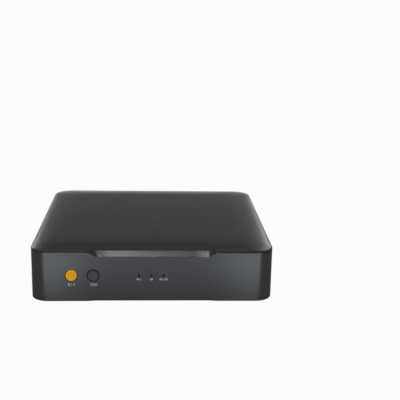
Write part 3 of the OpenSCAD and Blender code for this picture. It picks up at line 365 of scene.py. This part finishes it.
case_plastic = finish("satin_case_plastic", ((0.0166, 0.0168, 0.0172), (0.0178, 0.0180, 0.0184)),
                      (0.279, 0.297), 0.000006, 2600.0, 30.0)
case_shader = case_plastic.node_tree.nodes["Principled BSDF"]
case_shader.inputs["Specular IOR Level"].default_value = 1.0
case_shader.inputs["IOR"].default_value = 1.65
mount(walls, "case", "case_plastic", case_plastic, "body_shell")

# Light pipe: three short rods of smoky clear plastic on one bar behind the front wall, which lead the
# light of the lamps on the key board to the front. Their ends lie a little sunk in their holes.

smoky_plastic = finish("smoky_clear_plastic", ((0.003, 0.003, 0.003), (0.005, 0.005, 0.005)), (0.45, 0.6),
                       0.000003, 900.0)
smoky_plastic.node_tree.nodes["Principled BSDF"].inputs["Specular IOR Level"].default_value = 0.1
dress(smoky_plastic, "light_pipe")

# Push buttons: two round caps, one moulded in orange and one in the case's black, each with a dished
# face, a rounded edge, and a flange behind the front wall that keeps it in the case.

cap_face = -80.4
cap_radius = 3.5
cap_round = 0.45
cap_dish = 0.12
cap_length = 3.9
flange_radius = 4.9
flange_length = 1.6
stub_radius = 2.0
stub_length = 1.4
cap_rim = 0.15
dish_middle = 0.25
dish_edge = cap_radius - cap_round - cap_rim
dish_radii = np.linspace(dish_middle, dish_edge, 12)
cap_profile = np.stack([dish_radii, cap_dish * (1 - (dish_radii / dish_edge) ** 2)], -1).tolist()
cap_profile += quarter((cap_radius - cap_round, cap_round), cap_round, -90, 0)
flange_end = cap_length + flange_length
cap_profile += [(cap_radius, cap_length), (flange_radius, cap_length), (flange_radius, flange_end),
                (stub_radius, flange_end), (stub_radius, flange_end + stub_length)]
orange_plastic = finish("orange_cap_plastic", ((0.61, 0.286, 0.010), (0.64, 0.300, 0.014)), (0.42, 0.50),
                        0.000004, 2600.0, 160.0)
cap_plastic = finish("dark_cap_plastic", ((0.0250, 0.0252, 0.0258), (0.0270, 0.0272, 0.0278)),
                     (0.34, 0.40), 0.000005, 2600.0, 160.0)
cap_plastic.node_tree.nodes["Principled BSDF"].inputs["Specular IOR Level"].default_value = 1.0
for cap_name, cap_across, cap_body, cap_slot, cap_finish in (
        ("power", power_across, "power_key", "orange_plastic", orange_plastic),
        ("mode", mode_across, "mode_key", "button_plastic", cap_plastic)):
    cap = turned(cap_name + "_cap", cap_profile, (cap_across, cap_face, button_level), "Y")
    mount(cap, cap_body, cap_slot, cap_finish, cap_name + "_button")

# Printed marks: plain numerals and a plain on-off mark in pale grey ink, pad printed on the front wall
# under the buttons and the lamps, and on the rear panel over the sockets.

ink_depth = 0.000008


def printed(name, marks, plane, facing, material):
    """Flat print from (words, height, across, level) marks: each text is made a thin mesh, and all of
    them stand upright in one plane. Facing is -1 to be read from the front and 1 from behind."""
    meshes = []
    for words, height, across, level in marks:
        line = bpy.data.curves.new("line", "FONT")
        line.body = words
        line.align_x = "CENTER"
        line.align_y = "CENTER"
        line.size = height * 0.001
        line.extrude = ink_depth
        holder = bpy.data.objects.new("line", line)
        bpy.context.scene.collection.objects.link(holder)
        graph = bpy.context.evaluated_depsgraph_get()
        mesh = bpy.data.meshes.new_from_object(holder.evaluated_get(graph))
        bpy.data.objects.remove(holder)
        turn = Matrix(((-facing, 0, 0, across * 0.001), (0, 0, facing, plane * 0.001),
                       (0, 1, 0, level * 0.001), (0, 0, 0, 1)))
        mesh.transform(turn)
        meshes.append(mesh)
    whole = bmesh.new()
    for mesh in meshes:
        whole.from_mesh(mesh)
        bpy.data.meshes.remove(mesh)
    bmesh.ops.remove_doubles(whole, verts=whole.verts, dist=1e-8)
    bmesh.ops.recalc_face_normals(whole, faces=whole.faces)
    mesh = bpy.data.meshes.new(name)
    whole.to_mesh(mesh)
    whole.free()
    piece = bpy.data.objects.new(name, mesh)
    bpy.context.scene.collection.objects.link(piece)
    mount(piece, "case", "white_plastic", material)


print_ink = finish("pale_print_ink", ((0.44, 0.45, 0.46), (0.50, 0.51, 0.52)), (0.5, 0.6),
                   0.000002, 4000.0, 900.0)
button_mark_level = 13.0
power_mark_high = 2.4
mode_mark_high = 2.2
lamp_mark_level = 16.4
lamp_mark_high = 1.9
lamp_words = ("44.1", "48", "96-192")
front_marks = [("0 / 1", power_mark_high, power_across, button_mark_level),
               ("1234", mode_mark_high, mode_across, button_mark_level)]
front_marks += [(words, lamp_mark_high, across, lamp_mark_level)
                for words, across in zip(lamp_words, lamp_across)]
printed("front_marks", front_marks, shell_front, -1, print_ink)

# Rear panel: a thin powder coated plate let into the rear wall, cut out for the five sockets and held
# by one screw at each end.

inlet_across = 41.25
ethernet_across = 22.0
usb_across = -3.3
optical_across = -24.2
coax_across = -41.25
panel_face = 71.7
rear_mark_level = 25.9
rear_mark_high = 2.2
sockets_across = (inlet_across, ethernet_across, usb_across, optical_across, coax_across)
rear_marks = [(str(number), rear_mark_high, across, rear_mark_level)
              for number, across in enumerate(sockets_across, 1)]
dress(powder_coat, "rear_panel")
printed("rear_marks", rear_marks, panel_face, 1, print_ink)

# Ethernet socket: a folded tin shield round a black moulded insert, with eight gilt springs in its hole
# and a notch below for the plug's latch. Two small windows over the hole show the lamps of the link.


def sleeve(name, across, rings, steps=10):
    """Stack of upright rounded rectangles along Y: each ring has its place in depth, the level of its
    middle, its half width, half height and corner radius, and its points go once round."""
    stations, outward = case_stations(4, steps, 4, 4)
    rings = np.array(rings, float)[:, :, None]
    deep, level, half, high, radius = (rings[:, k] for k in range(5))
    x = across + stations[:, 0] * (half - radius) + radius * outward[:, 0]
    z = level + stations[:, 1] * (high - radius) + radius * outward[:, 1]
    x, deep, z = np.broadcast_arrays(x, deep, z)
    return skin(name, np.stack([x, deep, z], axis=-1))


def star_outline(ends, turns):
    """Outline with straight sides as seen from the origin: along each direction, the distance to the
    nearest crossing with a side."""
    ends = np.array(ends, float)
    side = np.roll(ends, -1, axis=0) - ends
    ray = np.stack([np.cos(turns), np.sin(turns)], -1)[:, None]
    cross = ray[..., 0] * side[:, 1] - ray[..., 1] * side[:, 0]
    cross = np.where(np.abs(cross) < 1e-12, 1e-12, cross)
    reach = (ends[:, 0] * side[:, 1] - ends[:, 1] * side[:, 0]) / cross
    share = (ends[:, 0] * ray[..., 1] - ends[:, 1] * ray[..., 0]) / cross
    hit = (reach > 0) & (share > -1e-6) & (share < 1 + 1e-6)
    return ray[:, 0] * np.where(hit, reach, np.inf).min(axis=1)[:, None]


ethernet_middle = 17.3
mouth = 72.1
shield_rings = [(51.1, 8.0, 6.7, 0.5), (71.9, 8.0, 6.7, 0.5), (72.06, 7.93, 6.63, 0.45),
                (mouth, 7.8, 6.5, 0.4), (72.06, 7.7, 6.4, 0.35), (71.9, 7.65, 6.35, 0.3),
                (70.9, 7.65, 6.35, 0.3)]
shield = sleeve("ethernet_shield", ethernet_across,
                [(deep, ethernet_middle, half, high, radius) for deep, half, high, radius in shield_rings])
mount(shield, "case", "tin_sheet", tin, "ethernet_socket")

hole_eye = 17.6
hole_flare = 0.02
insert_ends = [(7.6, 23.6), (-7.6, 23.6), (-7.6, 11.0), (7.6, 11.0)]
hole_ends = [(5.95, 22.2), (-5.95, 22.2), (-5.95, 15.0), (-2.0, 15.0), (-2.0, 12.4), (2.0, 12.4),
             (2.0, 15.0), (5.95, 15.0)]
eye = np.array([0, hole_eye])
corner_turns = [np.arctan2(*(np.array(ends) - eye).T[::-1]) for ends in (insert_ends, hole_ends)]
insert_turns = np.unique(np.round(np.concatenate([*corner_turns, np.linspace(-3.1, 3.1, 60)]), 6))
insert_line = star_outline(np.array(insert_ends) - eye, insert_turns) + eye
hole_line = star_outline(np.array(hole_ends) - eye, insert_turns) + eye
hole_edge = hole_line + (hole_line - eye) * hole_flare
insert_depths = np.array([70.95, 71.6, 71.6, 71.3, 58.1])
insert_lines = np.stack([insert_line, insert_line, hole_edge, hole_line, hole_line])
insert_grid = np.stack([ethernet_across + insert_lines[:, :, 0],
                        np.broadcast_to(insert_depths[:, None], insert_lines.shape[:2]),
                        insert_lines[:, :, 1]], axis=-1)
insert = skin("ethernet_insert", insert_grid)
mount(insert, "case", "switch_plastic", black_plastic, "ethernet_socket")
gilt = finish("gilt_spring", ((0.78, 0.56, 0.22), (0.86, 0.64, 0.28)), (0.2, 0.3),
              0.000003, 900.0, 200.0, (1, 1, 1), 1.0)
dress(gilt, "ethernet_contacts")
green_lens = finish("green_link_window", ((0.05, 0.16, 0.05), (0.06, 0.20, 0.06)), (0.2, 0.3),
                    0.000003, 900.0)
amber_lens = finish("amber_link_window", ((0.30, 0.15, 0.03), (0.36, 0.18, 0.04)), (0.2, 0.3),
                    0.000003, 900.0)
lens_level = 22.9
lens_rings = [(71.4, lens_level, 1.3, 0.45, 0.1), (71.68, lens_level, 1.3, 0.45, 0.1),
              (71.75, lens_level, 1.22, 0.37, 0.1)]
for lens_name, lens_across, lens_finish in (("green_link_lens", 17.2, green_lens),
                                            ("amber_link_lens", 26.8, amber_lens)):
    link_lens = sleeve(lens_name, lens_across, lens_rings, 4)
    mount(link_lens, "case", "clear_plastic", lens_finish)

# USB socket and power inlet: shells folded from tinned sheet with a rolled mouth, round a moulded tongue
# that the plug slides over. Both stand at the rear edge of the main board.

roll_length = 0.12
roll_turn = 0.03
roll_inset = 0.04
least_radius = 0.1
for shell_name, shell_node, shell_across, shell_level, half, high, radius, sheet, back in (
        ("usb_shell", "usb_socket_shell", usb_across, 13.5, 6.6, 2.9, 0.6, 0.35, 58.1),
        ("inlet_shell", "power_inlet_shell", inlet_across, 12.25, 4.5, 1.65, 1.64, 0.3, 62.7)):
    shell_steps = [(back, 0), (mouth - roll_length, 0), (mouth - roll_turn, roll_inset), (mouth, sheet / 2),
                   (mouth - roll_turn, sheet - roll_inset), (mouth - roll_length, sheet),
                   (back + sheet, sheet)]
    shell_rings = [(deep, shell_level, half - inset, high - inset, max(radius - inset, least_radius))
                   for deep, inset in shell_steps]
    shell = sleeve(shell_name, shell_across, shell_rings)
    mount(shell, "case", "tin_sheet", tin, shell_node)
dress(white_plastic, "usb_socket_tongue")
dress(black_plastic, "power_inlet_tongue")

# Optical socket: a black moulded block with a square hole, closed by a small flap on a pin that a plug
# pushes inwards. A red emitter looks out of the bottom of the hole.

block_level = 16.1
hole_level = 16.0
block_rings = [(56.1, block_level, 5.5, 5.5, 0.5), (71.8, block_level, 5.5, 5.5, 0.5),
               (72.02, block_level, 5.4, 5.4, 0.45), (mouth, block_level, 5.2, 5.2, 0.4),
               (mouth, hole_level, 4.3, 4.3, 0.5), (71.75, hole_level, 4.0, 4.0, 0.2),
               (61.7, hole_level, 4.0, 4.0, 0.2)]
optical_block = sleeve("optical_block", optical_across, block_rings)
mount(optical_block, "case", "switch_plastic", black_plastic, "optical_socket")
flap_plastic = finish("grey_flap_plastic", ((0.035, 0.035, 0.037), (0.045, 0.045, 0.047)), (0.4, 0.5),
                      0.00001, 1400.0)
dress(flap_plastic, "optical_shutter")
red_lens = finish("red_emitter_lens", ((0.45, 0.03, 0.02), (0.52, 0.04, 0.03)), (0.15, 0.25),
                  0.000003, 700.0)
dress(red_lens, "optical_emitter")

# Coaxial socket: a turned and gilded barrel with a narrower root in the panel, a white insulator inside
# it and a tubular centre contact, all carried by a black block on the main board.

coax_level = 17.6
coax_back = 70.05
barrel_profile = [(3.55, coax_back), (3.95, coax_back), (3.95, 72.0), (4.15, 72.0), (4.15, 73.0),
                  (4.02, 73.1), (4.02, 73.5), (4.15, 73.6)]
barrel_profile += quarter((3.95, 80.2), 0.2, 0, 90, 5)
barrel_profile += [(3.7, 80.4), (3.55, 80.25)]
gilt_barrel = turned("coax_barrel", barrel_profile, (coax_across, 0, coax_level), "Y", 96, True)
mount(gilt_barrel, "case", "barrel_metal", gilt, "coax_socket_barrel")
insulator_profile = [(2.05, coax_back), (3.5, coax_back), (3.5, 79.6), (3.3, 79.8), (2.25, 79.8),
                     (2.05, 79.6)]
insulator = turned("coax_insulator", insulator_profile, (coax_across, 0, coax_level), "Y", 96, True)
mount(insulator, "case", "white_plastic", white_plastic, "coax_socket_insulator")
contact_profile = [(1.6, coax_back), (2.0, coax_back), (2.0, 79.15), (1.85, 79.3), (1.7, 79.3),
                   (1.6, 79.15)]
contact = turned("coax_contact", contact_profile, (coax_across, 0, coax_level), "Y", 64, True)
mount(contact, "case", "insert_brass", gilt, "coax_socket_contact")

# Top cover: one moulding in the case's satin plastic. Its crown curves up from the rim to a flat top, and
# along the front a sloped visor cuts the rim and hangs over the front wall, with an S curve at each end.

cover_half = 75.0
cover_depth = 76.0
cover_radius = 11.0
crown_high = 2.5
crown_wide = 20.0
visor_lean = 2.0
visor_soft = 0.25
recess_depth = 0.45
recess_flat = 53.0
recess_ramp = 11.0
recess_fade = 9.0
rim_width = 1.8
pocket_inset = 13.0
pocket_high = 1.2
edge_band = 1.6
top_inset = 26.0


def crown(inset):
    """Height over the rim: a quarter of an ellipse as wide as the curve, then level."""
    return crown_high * np.sqrt(1 - (1 - np.minimum(inset, crown_wide) / crown_wide) ** 2)


def cover_rise(inset, dip):
    """Crown height, drawn down along the front to the lower of the crown and the visor's slope. The
    lower one of the two is taken softly, so that their meeting edge is rounded."""
    slope = (crown(visor_lean) + visor_drop) * inset / visor_lean - visor_drop
    lower = (crown(inset) + slope - np.sqrt((crown(inset) - slope) ** 2 + visor_soft ** 2)) / 2
    return crown(inset) - dip * (crown(inset) - lower)


under_rim = [pocket_inset, pocket_inset, rim_width]
near_edge = edge_band * np.linspace(0, 1, 26) ** 1.5
crown_turns = np.linspace(np.arccos(1 - edge_band / crown_wide), np.pi / 2, 36)[1:]
over_crown = crown_wide * (1 - np.cos(crown_turns))
cover_insets = np.concatenate([under_rim, near_edge, over_crown, [top_inset]])[:, None]
cover_x = stations[:, 0] * (cover_half - cover_insets - cover_radius) + cover_radius * outward[:, 0]
cover_y = stations[:, 1] * (cover_depth - cover_insets - cover_radius) + cover_radius * outward[:, 1]
cover_y += case_middle
cover_dip = hump(cover_x, visor_flat, visor_ramp) * in_front
recess = recess_depth * hump(cover_x, recess_flat, recess_ramp) * in_front
recess_share = np.clip((rim_width + recess_fade - cover_insets) / recess_fade, 0, 1)
cover_y += recess * recess_share ** 2 * (3 - 2 * recess_share)
cover_z = joint_level + cover_rise(cover_insets, cover_dip)
cover_z[:len(under_rim)] = joint_level
cover_z[0] += pocket_high
cover_z[2] -= visor_drop / 2 * cover_dip[2]
cover = skin("crowned_cover", np.stack([cover_x, cover_y, cover_z], axis=-1))
mount(cover, "case", "case_plastic", case_plastic, "top_cover")

# Studio: a white floor and plain soft lamps. The floor is white to the camera, and glossy rays see painted
# light on it: painted pools of light in front of the case's ends and a painted glow behind the case, so
# that the light falls off softly along the front.
# The camera stands in front and a little above, as in the photograph.

front_tint = (0.975, 1.0, 1.045)
lamp_aim = (0, 0, 0.02)
lamp_reach = 1.2
fill_size = (0.6, 0.4)


def lamp(name, turn, rise, size, power):
    """Soft rectangular lamp at a distance from the object, by its turn to the right of the front and its
    rise, in degrees. The light leaves it along its own -Z axis, which points from its place to the
    object, and a lamp before the object has a slightly cool tint."""
    turn, rise = np.radians((turn, rise))
    level = np.array([np.sin(turn), -np.cos(turn), 0]) * np.cos(rise)
    place = lamp_reach * (level + np.array([0, 0, np.sin(rise)]))
    light = bpy.data.lights.new(name, "AREA")
    light.shape = "RECTANGLE"
    light.size, light.size_y = size
    light.energy = power
    light.color = front_tint if place[1] < 0 else (1, 1, 1)
    holder = bpy.data.objects.new(name, light)
    back = place - np.array(lamp_aim)
    back /= np.linalg.norm(back)
    side = np.cross((0, 0, 1), back)
    side /= np.linalg.norm(side)
    stance = np.eye(4)
    stance[:3, :3] = np.stack([side, np.cross(back, side), back], axis=1)
    stance[:3, 3] = place
    holder.matrix_world = Matrix(stance.tolist())
    bpy.context.scene.collection.objects.link(holder)
    return holder


for lamp_name, lamp_turn, lamp_rise, lamp_size, lamp_power in (
        ("left_high_softbox", -7.2, 27.5, (0.18, 0.18), 0.8),
        ("rear_left_softbox", -153, 20, (0.28, 0.3), 0.56),
        ("rear_right_softbox", 157, 19.5, (0.2, 0.3), 0.36),
        ("rear_low_strip", 180, 6, (0.8, 0.12), 0.42),
        ("left_front_softbox", -60, 15, (0.8, 0.3), 0.26),
        ("right_front_softbox", 62, 14, (0.8, 0.3), 0.18),
        ("rear_top_softbox", 153, 36, (0.25, 0.25), 0.26),
        ("overhead_softbox", 180, 65, (1.6, 0.9), 0.36)):
    lamp(lamp_name, lamp_turn, lamp_rise, lamp_size, lamp_power)
for fill_name, fill_turn, fill_rise, fill_power in (
        ("front_fill", 0, 35, 13.0),
        ("rear_fill", 180, 35, 10.0),
        ("left_fill", -90, 35, 2.0),
        ("right_fill", 90, 35, 2.0)):
    fill = lamp(fill_name, fill_turn, fill_rise, fill_size, fill_power)
    fill.visible_glossy = False

floor_half = 40.0
floor_corners = [(-floor_half, -floor_half, 0), (floor_half, -floor_half, 0),
                 (floor_half, floor_half, 0), (-floor_half, floor_half, 0)]
floor_mesh = bpy.data.meshes.new("floor")
floor_mesh.from_pydata(floor_corners, [], [(0, 1, 2, 3)])
floor = bpy.data.objects.new("floor", floor_mesh)
bpy.context.scene.collection.objects.link(floor)
floor_paint = bpy.data.materials.new("white_floor_with_painted_light")
floor_paint.use_nodes = True
floor_paint.cycles.emission_sampling = "NONE"
floor_mesh.materials.append(floor_paint)
tree = floor_paint.node_tree


def graded(value, low, high):
    """Number that goes smoothly from one to another one while a value goes from its low to its high end:
    low and high are pairs of a value and the number there."""
    step = tree.nodes.new("ShaderNodeMapRange")
    step.interpolation_type = "SMOOTHSTEP"
    step.inputs["From Min"].default_value, step.inputs["To Min"].default_value = low
    step.inputs["From Max"].default_value, step.inputs["To Max"].default_value = high
    tree.links.new(value, step.inputs["Value"])
    return step.outputs["Result"]


def worked(operation, first, second):
    """Math node on two values, each one a socket or a number."""
    node = tree.nodes.new("ShaderNodeMath")
    node.operation = operation
    for k, value in enumerate((first, second)):
        if isinstance(value, float):
            node.inputs[k].default_value = value
        else:
            tree.links.new(value, node.inputs[k])
    return node.outputs[0]


floor_grey = (0.1, 0.1, 0.1, 1)
# Painted light seen only in reflections: a cool tint, painted pools of light in front of the case's ends,
# and a painted glow that rises behind the case.
painted_reflection_tint = (0.96, 0.985, 1.04, 1)
camera_share = 0.97
painted_pool_middle = (0.034, 0.33)
painted_pool_side = (0.074, 1.0)
painted_pool_front = (-0.155, 1.0)
painted_pool_near = (-0.085, 0.36)
painted_pool_slant = 0.7
painted_pool_inside = (-0.004, 1.0)
painted_pool_outside = (0.018, 0.0)
painted_glow_behind_near = (0.05, 0.03)
painted_glow_behind_far = (0.13, 0.6)

paper = tree.nodes["Principled BSDF"]
paper.inputs["Base Color"].default_value = floor_grey
paper.inputs["Roughness"].default_value = 0.9
spot = tree.nodes.new("ShaderNodeTexCoord")
spot_parts = tree.nodes.new("ShaderNodeSeparateXYZ")
tree.links.new(spot.outputs["Object"], spot_parts.inputs["Vector"])
floor_y = spot_parts.outputs["Y"]
off_middle = worked("ABSOLUTE", spot_parts.outputs["X"], 0.0)
painted_pool_edge = worked("ADD", off_middle, worked("MULTIPLY", floor_y, painted_pool_slant))
to_side = graded(off_middle, painted_pool_middle, painted_pool_side)
to_front = graded(floor_y, painted_pool_front, painted_pool_near)
in_painted_pool = graded(painted_pool_edge, painted_pool_inside, painted_pool_outside)
painted_pool = worked("MULTIPLY", worked("MULTIPLY", to_side, to_front), in_painted_pool)
behind = graded(floor_y, painted_glow_behind_near, painted_glow_behind_far)
seen = tree.nodes.new("ShaderNodeLightPath")
straight = worked("MULTIPLY", seen.outputs["Is Camera Ray"], camera_share)
mirrored = worked("MAXIMUM", seen.outputs["Is Glossy Ray"], seen.outputs["Is Transmission Ray"])
# Glossy and transmission rays see the painted pools of light and the painted glow behind the case.
painted_reflection = worked("MULTIPLY", mirrored, worked("MAXIMUM", painted_pool, behind))
tone = tree.nodes.new("ShaderNodeMix")
tone.data_type = "RGBA"
tone.inputs["A"].default_value = painted_reflection_tint
tone.inputs["B"].default_value = (1, 1, 1, 1)
glow = tree.nodes.new("ShaderNodeEmission")
blend = tree.nodes.new("ShaderNodeMixShader")
tree.links.new(seen.outputs["Is Camera Ray"], tone.inputs["Factor"])
tree.links.new(tone.outputs["Result"], glow.inputs["Color"])
tree.links.new(worked("MAXIMUM", straight, painted_reflection), blend.inputs["Fac"])
tree.links.new(paper.outputs["BSDF"], blend.inputs[1])
tree.links.new(glow.outputs["Emission"], blend.inputs[2])
tree.links.new(blend.outputs["Shader"], tree.nodes["Material Output"].inputs["Surface"])

world = bpy.data.worlds.new("studio")
world.use_nodes = True
sky = world.node_tree.nodes.new("ShaderNodeMix")
sky.data_type = "RGBA"
sky.inputs["A"].default_value = (0.04, 0.04, 0.04, 1)
sky.inputs["B"].default_value = (1, 1, 1, 1)
sky_seen = world.node_tree.nodes.new("ShaderNodeLightPath")
world.node_tree.links.new(sky_seen.outputs["Is Camera Ray"], sky.inputs["Factor"])
world.node_tree.links.new(sky.outputs["Result"], world.node_tree.nodes["Background"].inputs["Color"])
bpy.context.scene.world = world
bpy.context.scene.view_settings.view_transform = "Standard"

camera_place = (-0.0000783, -0.5541985, 0.1914336)
camera_yaw = 0.0597
camera_pitch = 0.2558
camera_roll = 0.0208
level_ahead = np.array([np.sin(camera_yaw), np.cos(camera_yaw), 0])
upright = np.array([0, 0, 1.0])
ahead = level_ahead * np.cos(camera_pitch) - upright * np.sin(camera_pitch)
above = level_ahead * np.sin(camera_pitch) + upright * np.cos(camera_pitch)
aside = np.array([np.cos(camera_yaw), -np.sin(camera_yaw), 0])
camera_turn = np.eye(4)
camera_turn[:3, 0] = aside * np.cos(camera_roll) + above * np.sin(camera_roll)
camera_turn[:3, 1] = above * np.cos(camera_roll) - aside * np.sin(camera_roll)
camera_turn[:3, 2] = -ahead
camera_turn[:3, 3] = camera_place
lens = bpy.data.cameras.new("camera")
lens.sensor_width = 36.0
lens.lens = 73.498
lens.clip_end = 100.0
camera = bpy.data.objects.new("camera", lens)
camera.matrix_world = Matrix(camera_turn.tolist())
bpy.context.scene.collection.objects.link(camera)
bpy.context.scene.camera = camera
